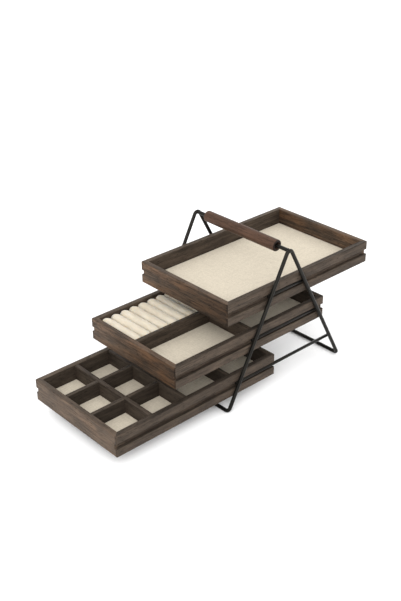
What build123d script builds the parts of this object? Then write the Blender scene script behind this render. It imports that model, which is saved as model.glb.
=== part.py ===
# Tiered jewelry box: three mitred walnut trays that slide on the cross rails of a bent wire stand.
# Millimetres. Origin on the floor under the middle of the stand, +Z up.
# X runs along the trays and the rails, Y across them from the near wire to the far wire.
from build123d import *
from math import atan2, sin, tan
import os

# Tray boards
tray_length = 250.0
tray_width = 158.0
tray_height = 29.5
wall_thickness = 7.0
corner_round = 1.0
rim_ease = 0.7

# Groove along the outside of each long side, which the rail runs in
groove_floor_height = 11.1
groove_width = 6.7
groove_depth = 4.1
groove_lip_ease = 0.6

# Base panel, held in a slot cut round the inside of the boards
base_thickness = 4.0
base_underside_height = 2.0
base_slot_depth = 2.5
base_side_clearance = 0.3

# Linen-covered card on the base panel
lining_thickness = 3.3
lining_side_clearance = 0.4
lining_edge_ease = 0.8

# Loose dividers, standing on the lining
divider_thickness = 5.5
divider_below_rim = 0.8
divider_end_clearance = 0.2
divider_lap_clearance = 0.1
divider_edge_ease = 0.5
small_cell_length = 46.0
small_cell_rows = 3
small_cell_columns = 2

# Ring rolls in the middle tray
roll_count = 8
roll_gap = 0.4
roll_below_rim = 0.9
roll_end_ease = 1.4
roll_near_clearance = 0.5
roll_far_clearance = 1.4
roll_backing_thickness = 2.0

# Wire stand
wire_diameter = 4.8
foot_half_spread = 100.0
leg_crossing_height = 192.0
apex_bend_radius = 5.0
foot_bend_radius = 5.0
leg_side_clearance = 0.6

# Rails, welded across the inner faces of the legs
rail_diameter = 4.0
rail_past_leg = 1.5
first_rail_height = 35.05
tier_spacing = 50.0
rail_running_clearance = 0.3
weld_sink = 0.2

# Handle between the two apexes
rod_diameter = 4.8
grip_diameter = 15.0
grip_length = 124.0
grip_bore_clearance = 0.3
grip_mouth_diameter = 9.0
grip_mouth_depth = 4.0
grip_end_ease = 1.3

# Where each tray stands when at rest: its middle, measured along X from the middle of the stand
bottom_tray_offset = -142.9
middle_tray_offset = -55.0
top_tray_offset = 26.7

# How far every cutting shape runs past the face it cuts
overrun = 1.0

# Sizes that follow from those above
wire_radius = wire_diameter / 2
rail_radius = rail_diameter / 2
rod_radius = rod_diameter / 2
half_length = tray_length / 2
half_width = tray_width / 2
inner_half_length = half_length - wall_thickness
inner_half_width = half_width - wall_thickness
leg_plane = half_width + leg_side_clearance + wire_radius
rail_plane = leg_plane - wire_radius - rail_radius + weld_sink
lining_underside = base_underside_height + base_thickness
floor_height = lining_underside + lining_thickness
divider_height = tray_height - divider_below_rim - floor_height
half_divider = divider_thickness / 2
groove_roof_height = groove_floor_height + groove_width
tray_over_rail = rail_radius + rail_running_clearance - groove_roof_height
leg_half_angle = atan2(foot_half_spread, leg_crossing_height - wire_radius)
apex_drop = apex_bend_radius * (1 / sin(leg_half_angle) - 1)
handle_height = leg_crossing_height - apex_drop


def rail_height(tier):
    """Height of a rail's axis; tier 0 is the lowest."""
    return first_rail_height + tier * tier_spacing


def underside(tier):
    """Height of a tray's underside, hung on its rails by the roof of its grooves."""
    return rail_height(tier) + tray_over_rail


def leg_half_spread(height):
    """Distance of a leg's centre line from the middle of the stand at a height."""
    return (leg_crossing_height - height) * tan(leg_half_angle)


def block(x_low, x_high, y_low, y_high, z_low, z_high):
    """A rectangular solid between two corners."""
    size = (x_high - x_low, y_high - y_low, z_high - z_low)
    return Pos(x_low, y_low, z_low) * Box(*size, align=(Align.MIN, Align.MIN, Align.MIN))


def groove_cutter(side):
    """The groove of the near (-1) or far (+1) long side, as a solid to cut away."""
    start = -half_length - overrun
    outline = [
        (-overrun, groove_floor_height),
        (groove_depth, groove_floor_height),
        (groove_depth, groove_roof_height),
        (groove_lip_ease, groove_roof_height),
        (-overrun, groove_roof_height + groove_lip_ease + overrun),
    ]
    corners = [(start, side * (half_width - inwards), height) for inwards, height in outline]
    face = make_face(Polyline(*corners, close=True))
    return extrude(face, amount=tray_length + 2 * overrun, dir=(1, 0, 0))


def tray_ring():
    """The four boards of a tray in one ring, before the mitres part them."""
    outline = RectangleRounded(tray_length, tray_width, corner_round)
    ring = extrude(outline, amount=tray_height)
    inside = (-inner_half_length, inner_half_length, -inner_half_width, inner_half_width)
    ring -= block(*inside, -overrun, tray_height + overrun)
    level = ring.edges().group_by(Axis.Z)
    ring = chamfer(level[-1] + level[0], rim_ease)
    ring -= block(
        -inner_half_length - base_slot_depth,
        inner_half_length + base_slot_depth,
        -inner_half_width - base_slot_depth,
        inner_half_width + base_slot_depth,
        base_underside_height,
        base_underside_height + base_thickness,
    )
    for side in (-1, 1):
        ring -= groove_cutter(side)
    return ring


def mitre_wedge(half_along, half_across, side, along_x):
    """The prism that keeps one board of the ring and ends in its two mitres."""
    out = half_across + overrun
    into = half_across - wall_thickness - overrun
    points = [
        (-half_along - overrun, side * out),
        (half_along + overrun, side * out),
        (half_along - wall_thickness - overrun, side * into),
        (-half_along + wall_thickness + overrun, side * into),
    ]
    if not along_x:
        points = [(y, x) for x, y in points]
    face = make_face(Polyline(*points, close=True))
    return extrude(Pos(0, 0, -overrun) * face, amount=tray_height + 2 * overrun, dir=(0, 0, 1))


def tray_boards():
    """The four mitred boards, by the side of the tray they stand on."""
    ring = tray_ring()
    return {
        "near_side": ring & mitre_wedge(half_length, half_width, -1, True),
        "far_side": ring & mitre_wedge(half_length, half_width, 1, True),
        "front_end": ring & mitre_wedge(half_width, half_length, -1, False),
        "rear_end": ring & mitre_wedge(half_width, half_length, 1, False),
    }


def base_panel():
    """The thin board that closes the tray from below."""
    half_x = inner_half_length + base_slot_depth - base_side_clearance
    half_y = inner_half_width + base_slot_depth - base_side_clearance
    return block(-half_x, half_x, -half_y, half_y, base_underside_height, lining_underside)


def lining_panel():
    """The padded linen-covered card, with its top edge eased."""
    half_x = inner_half_length - lining_side_clearance
    half_y = inner_half_width - lining_side_clearance
    panel = block(-half_x, half_x, -half_y, half_y, lining_underside, floor_height)
    return chamfer(panel.edges().group_by(Axis.Z)[-1], lining_edge_ease)


def divider_along(x_low, x_high, y_centre):
    """A divider that runs along the tray between two places."""
    board = block(
        x_low + divider_end_clearance,
        x_high - divider_end_clearance,
        y_centre - half_divider,
        y_centre + half_divider,
        floor_height,
        floor_height + divider_height,
    )
    long_edges = board.edges().filter_by(Axis.X).group_by(Axis.Z)[-1]
    return chamfer(long_edges, divider_edge_ease)


def divider_across(x_centre, y_low, y_high):
    """A divider that runs across the tray between two places."""
    board = block(
        x_centre - half_divider,
        x_centre + half_divider,
        y_low + divider_end_clearance,
        y_high - divider_end_clearance,
        floor_height,
        floor_height + divider_height,
    )
    long_edges = board.edges().filter_by(Axis.Y).group_by(Axis.Z)[-1]
    return chamfer(long_edges, divider_edge_ease)


def lap_notch(x_centre, y_centre, from_top):
    """The notch of a half-lap, cut into the upper or the lower half of a divider."""
    half_notch = half_divider + divider_lap_clearance
    middle = floor_height + divider_height / 2
    low = middle if from_top else floor_height - overrun
    high = floor_height + divider_height + overrun if from_top else middle
    return block(
        x_centre - half_notch,
        x_centre + half_notch,
        y_centre - half_notch,
        y_centre + half_notch,
        low,
        high,
    )


def bottom_dividers():
    """Two long dividers that lap one cross divider, and two plain cross dividers behind them."""
    row_width = (2 * inner_half_width - (small_cell_rows - 1) * divider_thickness) / small_cell_rows
    row_lines = [
        -inner_half_width + (row + 1) * row_width + row * divider_thickness + half_divider
        for row in range(small_cell_rows - 1)
    ]
    cross_lines = [
        -inner_half_length + (column + 1) * small_cell_length + column * divider_thickness + half_divider
        for column in range(small_cell_columns)
    ]
    rear_face = cross_lines[-1] + half_divider
    rear_line = (rear_face + inner_half_length) / 2
    pieces = {}
    for name, y_line in zip(("near_long_divider", "far_long_divider"), row_lines):
        board = divider_along(-inner_half_length, cross_lines[-1] - half_divider, y_line)
        for x_line in cross_lines[:-1]:
            board -= lap_notch(x_line, y_line, True)
        pieces[name] = board
    front = divider_across(cross_lines[0], -inner_half_width, inner_half_width)
    for y_line in row_lines:
        front -= lap_notch(cross_lines[0], y_line, False)
    pieces["front_cross_divider"] = front
    pieces["middle_cross_divider"] = divider_across(cross_lines[-1], -inner_half_width, inner_half_width)
    pieces["rear_cross_divider"] = divider_across(rear_line, -inner_half_width, inner_half_width)
    return pieces


def middle_dividers():
    """One cross divider at mid-length, and a long one that halves the front of the tray."""
    return {
        "cross_divider": divider_across(0, -inner_half_width, inner_half_width),
        "long_divider": divider_along(-inner_half_length, -half_divider, 0),
    }


def ring_rolls():
    """The row of round-topped rolls and the card they are glued to."""
    x_low = -inner_half_length
    pitch = (inner_half_length - half_divider) / roll_count
    radius = (pitch - roll_gap) / 2
    y_low = half_divider + roll_near_clearance
    y_high = inner_half_width - roll_far_clearance
    foot = floor_height + roll_backing_thickness
    crown = tray_height - roll_below_rim
    spring = crown - radius
    sheet_side = roll_gap / 2
    card = block(
        x_low + sheet_side,
        x_low + roll_count * pitch - sheet_side,
        y_low,
        y_high,
        floor_height,
        foot,
    )
    pieces = {"ring_roll_card": card}
    for index in range(roll_count):
        middle = x_low + (index + 1 / 2) * pitch
        outline = Polyline((-radius, spring), (-radius, foot), (radius, foot), (radius, spring))
        outline += ThreePointArc((radius, spring), (0, crown), (-radius, spring))
        upright = Plane(origin=(middle, y_low, 0), x_dir=(1, 0, 0), z_dir=(0, -1, 0))
        roll = extrude(upright * make_face(outline), amount=y_high - y_low, dir=(0, 1, 0))
        rims = [edge for edge in roll.edges() if edge.geom_type == GeomType.CIRCLE]
        pieces[f"ring_roll_{index + 1}"] = chamfer(rims, roll_end_ease)
    return pieces


def frame_wire(side):
    """Half of the stand: two half floor bars, two feet, two legs and an apex, from one wire."""
    corners = [
        (-foot_half_spread, 0, wire_radius),
        (-foot_half_spread, side * leg_plane, wire_radius),
        (0, side * leg_plane, leg_crossing_height),
        (foot_half_spread, side * leg_plane, wire_radius),
        (foot_half_spread, 0, wire_radius),
    ]
    radii = [foot_bend_radius, apex_bend_radius, foot_bend_radius]
    path = FilletPolyline(*corners, radius=radii)
    section = Plane(origin=corners[0], z_dir=(0, side, 0)) * Circle(wire_radius)
    return sweep(section, path=path)


def straight_bar(radius, start, end):
    """A round bar between two points."""
    line = Line(start, end)
    return sweep(Plane(origin=start, z_dir=line % 0) * Circle(radius), path=line)


def rail(side, tier, wire):
    """One rail, seated a little into the two legs where it is welded to them."""
    height = rail_height(tier)
    reach = leg_half_spread(height) + rail_past_leg
    line_y = side * rail_plane
    return straight_bar(rail_radius, (-reach, line_y, height), (reach, line_y, height)) - wire


def handle_rod(wires):
    """The rod between the two apexes, coped where it is welded against them."""
    reach = leg_plane - wire_radius + weld_sink
    rod = straight_bar(rod_radius, (0, -reach, handle_height), (0, reach, handle_height))
    for wire in wires:
        rod -= wire
    return rod


def handle_grip():
    """The wooden grip, bored through for the rod and opened out at both ends."""
    turned = Cylinder(grip_diameter / 2, grip_length)
    rims = turned.edges().filter_by(GeomType.CIRCLE)
    turned = chamfer(rims, grip_end_ease)
    turned -= Cylinder(rod_radius + grip_bore_clearance, grip_length + 2 * overrun)
    for end in (-1, 1):
        mouth = Cylinder(grip_mouth_diameter / 2, grip_mouth_depth + overrun)
        turned -= Pos(0, 0, end * (grip_length + overrun - grip_mouth_depth) / 2) * mouth
    return Pos(0, 0, handle_height) * (Rot(90, 0, 0) * turned)


def place_in_tray(shape, tier, offset):
    """A tray piece at its tier's height and at the tray's resting place along the rails."""
    return Pos(offset, 0, underside(tier)) * shape


def build():
    """Every piece of the jewelry box, by its name."""
    pieces = {}
    near_wire = frame_wire(-1)
    far_wire = frame_wire(1)
    pieces["near_frame_wire"] = near_wire
    pieces["far_frame_wire"] = far_wire
    tiers = ("bottom", "middle", "top")
    for tier, level in enumerate(tiers):
        pieces[f"{level}_rail_near"] = rail(-1, tier, near_wire)
        pieces[f"{level}_rail_far"] = rail(1, tier, far_wire)
    pieces["handle_rod"] = handle_rod((near_wire, far_wire))
    pieces["handle_grip"] = handle_grip()
    offsets = (bottom_tray_offset, middle_tray_offset, top_tray_offset)
    shared = dict(tray_boards(), base_panel=base_panel(), lining=lining_panel())
    fittings = (bottom_dividers(), dict(middle_dividers(), **ring_rolls()), {})
    for tier, level in enumerate(tiers):
        for name, shape in dict(shared, **fittings[tier]).items():
            pieces[f"{level}_tray_{name}"] = place_in_tray(shape, tier, offsets[tier])
    return pieces


os.makedirs("parts", exist_ok=True)
for node, shape in build().items():
    export_step(shape, f"parts/{node}.step")
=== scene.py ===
"""Photographic scene of the tiered jewelry box.

Three mitred trays of stained walnut, lined with linen, slide on the rails of a bent wire stand.
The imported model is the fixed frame. Every piece is made in metres in that frame, with its object
at the origin, and rides on the body that it belongs to.
"""

import logging
import math
from collections.abc import Iterable, Mapping, Sequence
from dataclasses import dataclass, field
from enum import Enum
from itertools import product
from typing import ClassVar

import bmesh
import bpy
import numpy as np
from mathutils import Matrix, Vector, noise


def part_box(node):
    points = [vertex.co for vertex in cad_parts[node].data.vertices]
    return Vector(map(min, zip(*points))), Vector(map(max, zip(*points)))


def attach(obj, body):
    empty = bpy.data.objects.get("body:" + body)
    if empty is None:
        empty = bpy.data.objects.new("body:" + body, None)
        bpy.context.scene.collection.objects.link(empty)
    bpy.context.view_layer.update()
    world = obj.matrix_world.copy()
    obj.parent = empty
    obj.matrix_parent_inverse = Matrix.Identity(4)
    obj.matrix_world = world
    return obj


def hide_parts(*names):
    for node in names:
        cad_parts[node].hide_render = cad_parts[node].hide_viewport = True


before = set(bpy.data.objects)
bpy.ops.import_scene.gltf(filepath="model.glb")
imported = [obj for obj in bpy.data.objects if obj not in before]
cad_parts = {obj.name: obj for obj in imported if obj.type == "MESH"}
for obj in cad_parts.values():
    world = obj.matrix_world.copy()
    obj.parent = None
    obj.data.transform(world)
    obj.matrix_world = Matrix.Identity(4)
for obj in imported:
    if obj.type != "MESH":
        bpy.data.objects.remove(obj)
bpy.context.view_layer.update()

log = logging.getLogger("jewelry_box")

Colour = tuple[float, float, float]
Point = tuple[float, float, float]
Span = tuple[float, float]
Corners = tuple[Vector, Vector]
Route = Sequence[tuple[Point, float]]
Socket = bpy.types.NodeSocket
Source = Socket | float | Colour

MM = 0.001
GRAIN = "grain"
END_GRAIN = "end_grain"
WARMTH = "warmth"
PALENESS_AND_PAINTED_LIGHT = "paleness"
DRIFT = "drift"
COOLING = "cooling"
MITRE = "mitre"
THICKNESS = "thickness"


class Tier(Enum):
    """The three levels of the stand, lowest first."""

    BOTTOM = 0
    MIDDLE = 1
    TOP = 2

    @property
    def body(self) -> str:
        """Name of the tray that slides at this level."""
        return f"{self.name.lower()}_tray"

    def node(self, part: str) -> str:
        """Name of the solid of one of this tray's parts."""
        return f"{self.body}_{part}"

    def rail(self, side: str) -> str:
        """Name of the solid of the rail on one side of this level."""
        return f"{self.name.lower()}_rail_{side}"


class GrainRun(Enum):
    """The way that a board's fibres run: the axes along them, up, and across them."""

    ALONG_TRAY = (0, 2, 1)
    ACROSS_TRAY = (1, 2, 0)


@dataclass(frozen=True)
class Stain:
    """One board's stain and its painted light and shade, beside the plain tone of most boards.

    Attributes:
        warmth: How far the reddish wood shows through, from 0 to 1.
        paleness: How much lighter the upright faces are, as a share.
        top_paleness: How much lighter the faces that look up or down are, as a share.
        groove_paleness: How much lighter the back of the groove is, as a share.
        drift: How much lighter the upright faces are at the tray's far side, and how much
            darker at its near side, as a share.
        cooling: How much of the warmth they lose at the tray's far side, and gain at its near
            side, as a share.
    """

    warmth: float = 0.12
    # Partly uneven stain, partly painted light and painted shade on the upright faces.
    paleness: float = 0.0
    # Painted sheen on faces that look up, and painted shade on rims that a tray above overhangs.
    top_paleness: float = 0.0
    # Painted light on the back of the groove, which lies in the lip's shade.
    groove_paleness: float = 0.35
    # Partly painted shade, as in the far corner of the top tray's rear end.
    drift: float = 0.0
    cooling: float = 0.0


# Node networks


@dataclass(frozen=True)
class Speckle:
    """Soft noise of one kind: its features to a metre along each axis, and its finer layers."""

    per_metre: Point
    layers: float = 2.0
    layer_strength: float = 0.5


@dataclass
class Network:
    """Adds nodes to one tree and links them as they are added.

    Inputs that share a name on their node, such as the pairs of a Mix node, go by number.
    """

    tree: bpy.types.NodeTree

    def feed(self, socket: Socket, value: object) -> None:
        """Link a socket from another one, or set its value.

        Args:
            socket: The input to feed.
            value: The socket that it is linked from, or its value.
        """
        if isinstance(value, Socket):
            self.tree.links.new(value, socket)
        elif socket.type == "RGBA":
            socket.default_value = (*value, 1.0)
        else:
            socket.default_value = value

    def feed_all(self, node: bpy.types.Node, inputs: Mapping[str | int, object]) -> None:
        """Feed inputs of a node, each found by its name or number."""
        for key, value in inputs.items():
            self.feed(node.inputs[key], value)

    def add(
        self, kind: str, inputs: Mapping[str | int, object] | None = None, **settings: object
    ) -> bpy.types.Node:
        """Add one node.

        Args:
            kind: Type name of the node.
            inputs: What feeds each input, by the input's name or number: a socket or a value.
            settings: Properties of the node.

        Returns:
            The new node.
        """
        node = self.tree.nodes.new(kind)
        for key, value in settings.items():
            setattr(node, key, value)
        self.feed_all(node, inputs or {})
        return node

    def first(
        self, kind: str, inputs: Mapping[str | int, object] | None = None, **settings: object
    ) -> Socket:
        """Add one node, as add does, and give its first output."""
        return self.add(kind, inputs, **settings).outputs[0]

    def maths(self, operation: str, *values: Source) -> Socket:
        """One arithmetic step, with its operands in order."""
        return self.first("ShaderNodeMath", dict(enumerate(values)), operation=operation)

    def vector_maths(self, operation: str, *values: Source) -> Socket:
        """One arithmetic step on vectors, with its operands in order."""
        return self.first("ShaderNodeVectorMath", dict(enumerate(values)), operation=operation)

    def scaled(self, vector: Source, share: Source) -> Socket:
        """A vector made longer or shorter by a share."""
        return self.first("ShaderNodeVectorMath", {0: vector, "Scale": share}, operation="SCALE")

    def axes(self, vector: Source) -> list[Socket]:
        """The three parts of a vector."""
        return list(self.add("ShaderNodeSeparateXYZ", {0: vector}).outputs)

    def vector(self, x: Source, y: Source, z: Source) -> Socket:
        """A vector of three parts."""
        return self.first("ShaderNodeCombineXYZ", {0: x, 1: y, 2: z})

    def noise(self, place: Source, speckle: Speckle) -> Socket:
        """Soft noise of one kind.

        Args:
            place: Where the noise is read, in metres.
            speckle: Its scale and its finer layers.

        Returns:
            A value about 0.5, from 0 to 1.
        """
        inputs = {
            "Vector": self.vector_maths("MULTIPLY", place, speckle.per_metre),
            "Scale": 1.0,
            "Detail": speckle.layers,
            "Roughness": speckle.layer_strength,
        }
        return self.first("ShaderNodeTexNoise", inputs)

    def span(self, value: Source, stretch: Span, onto: Span = (0.0, 1.0)) -> Socket:
        """Spread a stretch of a value smoothly over another, and hold it at both ends.

        Args:
            value: The value.
            stretch: The two ends of the stretch of it that counts.
            onto: What it becomes at those ends.

        Returns:
            The new value.
        """
        inputs = dict(enumerate((value, *stretch, *onto)))
        return self.first("ShaderNodeMapRange", inputs, interpolation_type="SMOOTHSTEP")

    def weighted(self, *parts: tuple[Source, float]) -> Socket:
        """Add up values by their shares.

        Args:
            parts: Each value with its share.

        Returns:
            The sum.
        """
        start, *others = parts
        total = self.maths("MULTIPLY", *start)
        for value, share in others:
            total = self.maths("MULTIPLY_ADD", value, share, total)
        return total

    def swinging(self, base: float, swing: float, share: Source) -> Socket:
        """A value that swings about a base, by a share that lies about a half."""
        return self.maths("MULTIPLY_ADD", share, swing, base - swing / 2)

    def between(self, share: Source, first: Source, second: Source) -> Socket:
        """Go from the first number to the second by a share from 0 to 1."""
        return self.first("ShaderNodeMix", {0: share, 2: first, 3: second})

    def blend(self, share: Source, first: Source, second: Source) -> Socket:
        """Go from the first colour to the second by a share from 0 to 1."""
        node = self.add("ShaderNodeMix", {0: share, 6: first, 7: second}, data_type="RGBA")
        return node.outputs[2]

    def shaded(self, colour: Source, strength: Source) -> Socket:
        """Multiply a colour by one value."""
        return self.vector_maths("MULTIPLY", colour, self.vector(strength, strength, strength))

    def relief(self, height: Source, depth: float, strength: float) -> Socket:
        """A surface normal with a fine relief, whose full height is a depth in metres."""
        inputs = {"Height": height, "Distance": depth, "Strength": strength}
        return self.first("ShaderNodeBump", inputs)

    def object_place(self) -> Socket:
        """Where a point is on its object, in metres."""
        return self.add("ShaderNodeTexCoord").outputs["Object"]

    def stored(self, name: str) -> bpy.types.Node:
        """The node that reads what a mesh stores under a name."""
        return self.add("ShaderNodeAttribute", attribute_name=name, attribute_type="GEOMETRY")

    def stored_share(self, name: str) -> Socket:
        """The number that a mesh stores under a name."""
        return self.stored(name).outputs["Fac"]


def new_surface(name: str) -> tuple[bpy.types.Material, Network, bpy.types.Node]:
    """Start a material.

    Args:
        name: Name of the finish.

    Returns:
        The material, its network and its surface shader.
    """
    material = bpy.data.materials.new(name)
    material.use_nodes = True
    network = Network(material.node_tree)
    return material, network, material.node_tree.nodes["Principled BSDF"]


# Finishes


@dataclass(frozen=True)
class StainedTimber:
    """Open-grained timber under a dark stain and a thin satin lacquer.

    The pattern is a solid one. It is read from the grain that each board stores, whose first
    axis runs along the fibres, so that every board looks cut from its own place in the log.
    """

    name: str = "stained_walnut"
    pore_colour: Colour = (0.0056, 0.004, 0.0028)
    dark_colour: Colour = (0.0224, 0.0165, 0.0121)
    main_colour: Colour = (0.0627, 0.0477, 0.0357)
    warm_colour: Colour = (0.0916, 0.0502, 0.0271)
    wander: Speckle = Speckle((5.0, 34.0, 34.0))
    fibres: Speckle = Speckle((60.0, 1100.0, 1100.0), 4.0, 0.70)
    streaks: Speckle = Speckle((26.0, 480.0, 480.0), 4.0, 0.66)
    patches: Speckle = Speckle((24.0, 70.0, 70.0), 4.0, 0.62)
    pores: Speckle = Speckle((150.0, 1700.0, 1700.0), 1.0)
    ring_spacing: float = 3.4 * MM
    ring_slope: float = 0.38
    ring_lean: float = 0.018
    ring_wander: float = 0.018
    ring_share: float = 0.05
    fibre_share: float = 0.42
    streak_share: float = 0.48
    patch_share: float = 0.42
    tone_span: Span = (0.48, 0.86)
    pore_span: Span = (0.60, 0.72)
    pore_strength: float = 0.8
    glow_from: Span = (0.30, 0.70)
    glow_onto: Span = (0.35, 1.0)
    end_grain_span: Span = (0.3, 0.9)
    end_grain_shade: float = 0.8
    half_width: float = 79.0 * MM
    mitre_span: Span = (75.6 * MM, 78.2 * MM)
    mitre_shade: float = 0.55
    roughness: float = 0.56
    fibre_roughness: float = 0.22
    pore_roughness: float = 0.2
    specular: float = 0.11
    relief_depth: float = 0.12 * MM
    relief_strength: float = 0.55

    def tone(self, network: Network, grain: Socket, fibres: Socket, patches: Socket) -> Socket:
        """How light the wood is, from its growth rings, its fibres and its figure.

        Args:
            network: The material's network.
            grain: The place in the log.
            fibres: The noise of the fibres there.
            patches: The noise of the broad figure there.

        Returns:
            A value from 0, dark, to 1, light.
        """
        along, height, depth = network.axes(grain)
        wander = network.noise(grain, self.wander)
        phase = network.maths("MULTIPLY_ADD", height, self.ring_slope, depth)
        phase = network.maths("MULTIPLY_ADD", along, self.ring_lean, phase)
        phase = network.maths("MULTIPLY_ADD", wander, self.ring_wander, phase)
        phase = network.maths("MULTIPLY", phase, math.tau / self.ring_spacing)
        tone = network.weighted(
            (network.span(network.maths("SINE", phase), (-1.0, 1.0)), self.ring_share),
            (fibres, self.fibre_share),
            (network.noise(grain, self.streaks), self.streak_share),
            (patches, self.patch_share),
        )
        return network.span(tone, self.tone_span)

    def faces(self, network: Network, colour: Socket, across: Socket, drift: Socket) -> Socket:
        """Shade a colour by its face: end grain, paleness with painted light and shade, dark mitre
        lines.

        Args:
            network: The material's network.
            colour: The colour of the wood.
            across: The place across the tray, in metres.
            drift: How much lighter the drift makes it there, as a share; partly painted shade.

        Returns:
            The shaded colour.
        """
        ends = network.stored_share(END_GRAIN)
        ends = network.span(ends, self.end_grain_span, (1.0, self.end_grain_shade))
        colour = network.shaded(colour, ends)
        # Paleness here holds painted light and painted shade as well as the stain's own
        # unevenness.
        pale_with_painted_light = network.maths("ADD", network.stored_share(PALENESS_AND_PAINTED_LIGHT), drift)
        colour = network.shaded(colour, network.maths("ADD", pale_with_painted_light, 1.0))
        edge = network.span(network.maths("ABSOLUTE", across), self.mitre_span)
        edge = network.maths("MULTIPLY", edge, network.stored_share(MITRE))
        edge = network.maths("MULTIPLY", edge, self.mitre_shade)
        return network.shaded(colour, network.maths("SUBTRACT", 1.0, edge))

    def make(self) -> bpy.types.Material:
        """Build the material.

        Returns:
            The material, which reads what BoardGrain stores on a mesh.
        """
        material, network, surface = new_surface(self.name)
        grain = network.stored(GRAIN).outputs["Vector"]
        fibres = network.noise(grain, self.fibres)
        patches = network.noise(grain, self.patches)
        pores = network.span(network.noise(grain, self.pores), self.pore_span)
        tone = self.tone(network, grain, fibres, patches)
        _, across, _ = network.axes(network.object_place())
        side = network.maths("DIVIDE", across, self.half_width)
        drift = network.maths("MULTIPLY", network.stored_share(DRIFT), side)
        cooling = network.maths("MULTIPLY", network.stored_share(COOLING), side)

        colour = network.blend(tone, self.dark_colour, self.main_colour)
        glow = network.span(patches, self.glow_from, self.glow_onto)
        glow = network.maths("MULTIPLY", network.stored_share(WARMTH), glow)
        glow = network.maths("MULTIPLY", glow, network.maths("SUBTRACT", 1.0, cooling))
        colour = network.blend(glow, colour, network.shaded(self.warm_colour, tone))
        filled = network.maths("MULTIPLY", pores, self.pore_strength)
        colour = network.blend(filled, colour, self.pore_colour)

        gloss = network.swinging(self.roughness, self.fibre_roughness, fibres)
        raised = network.maths("SUBTRACT", fibres, pores)
        network.feed_all(surface, {
            "Base Color": self.faces(network, colour, across, drift),
            "Roughness": network.maths("MULTIPLY_ADD", pores, self.pore_roughness, gloss),
            "Specular IOR Level": self.specular,
            "Normal": network.relief(raised, self.relief_depth, self.relief_strength),
        })
        return material


@dataclass(frozen=True)
class WovenLinen:
    """Plain-woven natural linen with uneven threads, glued over a thin pad."""

    name: str = "natural_linen"
    light_colour: Colour = (0.566, 0.505, 0.405)
    shade_colour: Colour = (0.410, 0.361, 0.282)
    warp_slubs: Speckle = Speckle((700.0, 60.0, 60.0), 3.0, 0.65)
    weft_slubs: Speckle = Speckle((60.0, 700.0, 60.0), 3.0, 0.65)
    mottle: Speckle = Speckle((420.0, 420.0, 420.0), 3.0, 0.7)
    thread_spacing: float = 0.62 * MM
    thread_wobble: float = 2.2
    crossing_span: Span = (-0.35, 0.35)
    weave_share: float = 0.30
    slub_share: float = 0.34
    mottle_share: float = 0.66
    tone_span: Span = (0.52, 1.12)
    roughness: float = 0.92
    specular: float = 0.2
    sheen: float = 0.08
    relief_depth: float = 0.10 * MM
    relief_strength: float = 0.5

    def make(self) -> bpy.types.Material:
        """Build the material.

        Returns:
            The material, whose threads follow the object's two level axes.
        """
        material, network, surface = new_surface(self.name)
        place = network.object_place()
        warp_slubs = network.noise(place, self.warp_slubs)
        weft_slubs = network.noise(place, self.weft_slubs)
        mottle = network.noise(place, self.mottle)
        across, along, _ = network.axes(place)
        turn = math.pi / self.thread_spacing
        wobble = network.maths("MULTIPLY", mottle, self.thread_wobble)
        warp, weft = (
            network.maths("SINE", network.maths("MULTIPLY_ADD", axis, turn, wobble))
            for axis in (across, along)
        )
        over = network.span(network.maths("MULTIPLY", warp, weft), self.crossing_span)
        heights = (network.maths("ABSOLUTE", thread) for thread in (warp, weft))
        weave = network.between(over, *heights)
        tone = network.weighted(
            (weave, self.weave_share),
            (warp_slubs, self.slub_share),
            (weft_slubs, self.slub_share),
            (mottle, self.mottle_share),
        )
        tone = network.span(tone, self.tone_span)
        raised = network.maths("ADD", weave, network.maths("ADD", warp_slubs, weft_slubs))
        network.feed_all(surface, {
            "Base Color": network.blend(tone, self.shade_colour, self.light_colour),
            "Roughness": self.roughness,
            "Specular IOR Level": self.specular,
            "Sheen Weight": self.sheen,
            "Normal": network.relief(raised, self.relief_depth, self.relief_strength),
        })
        return material


@dataclass(frozen=True)
class NappedCloth:
    """Short-napped cream cloth drawn over a foam roll."""

    name: str = "napped_cloth"
    light_colour: Colour = (0.519, 0.470, 0.383)
    shade_colour: Colour = (0.448, 0.395, 0.310)
    nap: Speckle = Speckle((2300.0, 1500.0, 2300.0), 3.0, 0.6)
    brushed: Speckle = Speckle((110.0, 60.0, 110.0), 3.0, 0.55)
    nap_share: float = 0.5
    brushed_share: float = 0.7
    tone_span: Span = (0.42, 0.78)
    roughness: float = 0.95
    specular: float = 0.15
    sheen: float = 0.10
    sheen_roughness: float = 0.45
    foam_light: float = 0.75
    foam_reach: Point = (1.0, 0.8, 0.6)
    foam_depth: float = 3.0 * MM
    relief_depth: float = 0.06 * MM
    relief_strength: float = 0.5

    def make(self) -> bpy.types.Material:
        """Build the material.

        Returns:
            The material, which lets a little light into the foam.
        """
        material, network, surface = new_surface(self.name)
        place = network.object_place()
        nap = network.noise(place, self.nap)
        brushed = network.noise(place, self.brushed)
        tone = network.weighted((brushed, self.brushed_share), (nap, self.nap_share))
        tone = network.span(tone, self.tone_span)
        network.feed_all(surface, {
            "Base Color": network.blend(tone, self.shade_colour, self.light_colour),
            "Roughness": self.roughness,
            "Specular IOR Level": self.specular,
            "Sheen Weight": self.sheen,
            "Sheen Roughness": self.sheen_roughness,
            "Subsurface Weight": self.foam_light,
            "Subsurface Radius": self.foam_reach,
            "Subsurface Scale": self.foam_depth,
            "Normal": network.relief(nap, self.relief_depth, self.relief_strength),
        })
        return material


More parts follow.
